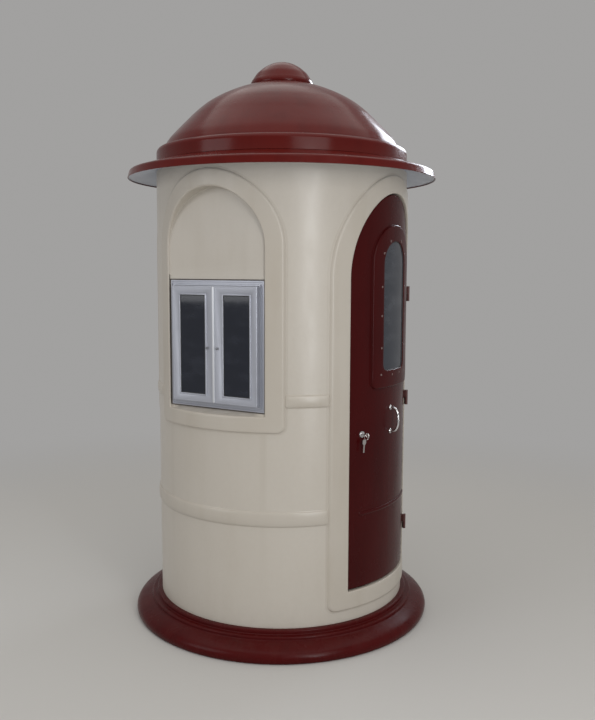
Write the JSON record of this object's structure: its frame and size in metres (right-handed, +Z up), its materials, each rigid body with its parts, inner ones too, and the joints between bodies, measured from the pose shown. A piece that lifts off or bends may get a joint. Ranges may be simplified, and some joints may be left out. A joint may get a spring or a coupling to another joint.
{
  "type": "round guard booth",
  "caption": "Round glass-fibre guard booth with a brimmed dome roof, an arched glazed door that swings out, and arched bays with flat aluminium windows.",
  "frame": {"origin": "middle of the foot on the floor, on the booth's axis", "axes": "+Z up, -Y out of the door, windows on -X, +X and +Y"},
  "size_m": [1.4698, 1.4698, 2.656],
  "materials": {
    "cream_gelcoat": "glossy cream gelcoat on glass fibre",
    "burgundy_gelcoat": "glossy burgundy gelcoat on glass fibre",
    "white_gelcoat": "pale grey gelcoat",
    "floor_coating": "grey coated board",
    "window_aluminium": "satin anodised bars",
    "tinted_glass": "dark tinted glass",
    "door_glazing": "grey tinted glass",
    "hinge_steel": "painted to match the door",
    "chrome_trim": "polished chrome"
  },
  "bodies": {
    "booth": {"front_left_pier": "cream_gelcoat", "front_right_pier": "cream_gelcoat", "rear_left_pier": "cream_gelcoat", "rear_right_pier": "cream_gelcoat", "wall_below_door": "cream_gelcoat", "left_door_jamb": "cream_gelcoat", "right_door_jamb": "cream_gelcoat", "wall_over_door": "cream_gelcoat", "left_wall_below_window": "cream_gelcoat", "left_window_surround": "cream_gelcoat", "right_wall_below_window": "cream_gelcoat", "right_window_surround": "cream_gelcoat", "rear_wall_below_window": "cream_gelcoat", "rear_window_surround": "cream_gelcoat", "base_plinth": "burgundy_gelcoat", "roof_brim": "burgundy_gelcoat", "roof_dome": "burgundy_gelcoat", "roof_cap": "burgundy_gelcoat", "roof_soffit": "white_gelcoat", "floor_deck": "floor_coating", "left_window_frame": "window_aluminium", "left_window_sashes": "window_aluminium", "left_window_glass": "tinted_glass", "right_window_frame": "window_aluminium", "right_window_sashes": "window_aluminium", "right_window_glass": "tinted_glass", "rear_window_frame": "window_aluminium", "rear_window_sashes": "window_aluminium", "rear_window_glass": "tinted_glass", "door_frame_hinges": "hinge_steel"},
    "door": {"door_leaf": "burgundy_gelcoat", "door_light_frame": "burgundy_gelcoat", "door_glass": "door_glazing", "door_leaf_hinges": "hinge_steel", "door_pull": "chrome_trim", "door_lock": "chrome_trim"}
  },
  "joints": [
    {"name": "door_hinge", "type": "hinge", "parent": "booth", "child": "door", "pos_m": [0.2895, -0.54487, 0.25], "axis": [0, 0, 1], "range_deg": [0, 100]}
  ]
}
